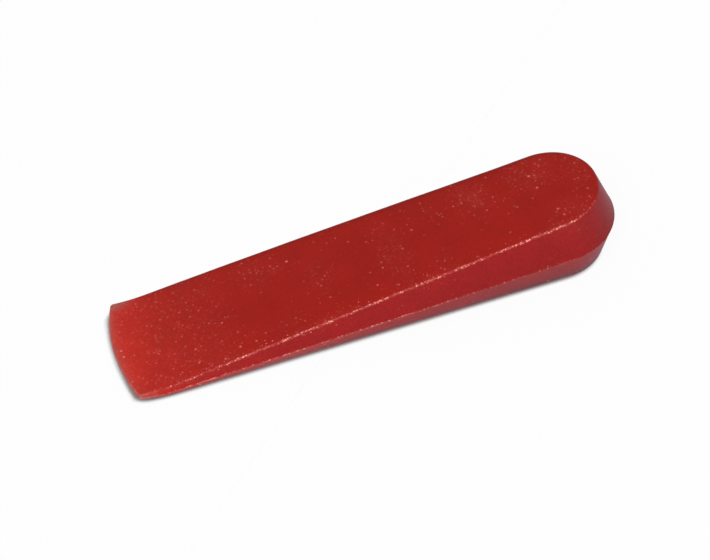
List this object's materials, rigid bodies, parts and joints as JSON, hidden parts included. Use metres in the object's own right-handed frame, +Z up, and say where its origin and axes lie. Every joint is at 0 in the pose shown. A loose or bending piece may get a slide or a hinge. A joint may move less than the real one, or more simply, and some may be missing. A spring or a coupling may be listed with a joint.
{
  "type": "tile spacer",
  "caption": "Solid moulded plastic wedge spacer, tapering from a round thick end to a thin arc-shaped edge, pushed under or between tiles to set or level a joint.",
  "frame": {"origin": "centre of the bounding box at the base, on the surface that the wedge rests on", "axes": "+X from the thin edge to the round thick end, +Z up from the lower bearing face, Y across the width"},
  "size_m": [0.04, 0.01, 0.0064],
  "materials": {
    "red_plastic": "fine spark-eroded moulded texture, slightly translucent where it is thin"
  },
  "bodies": {
    "root": {"wedge": "red_plastic"}
  },
  "joints": []
}
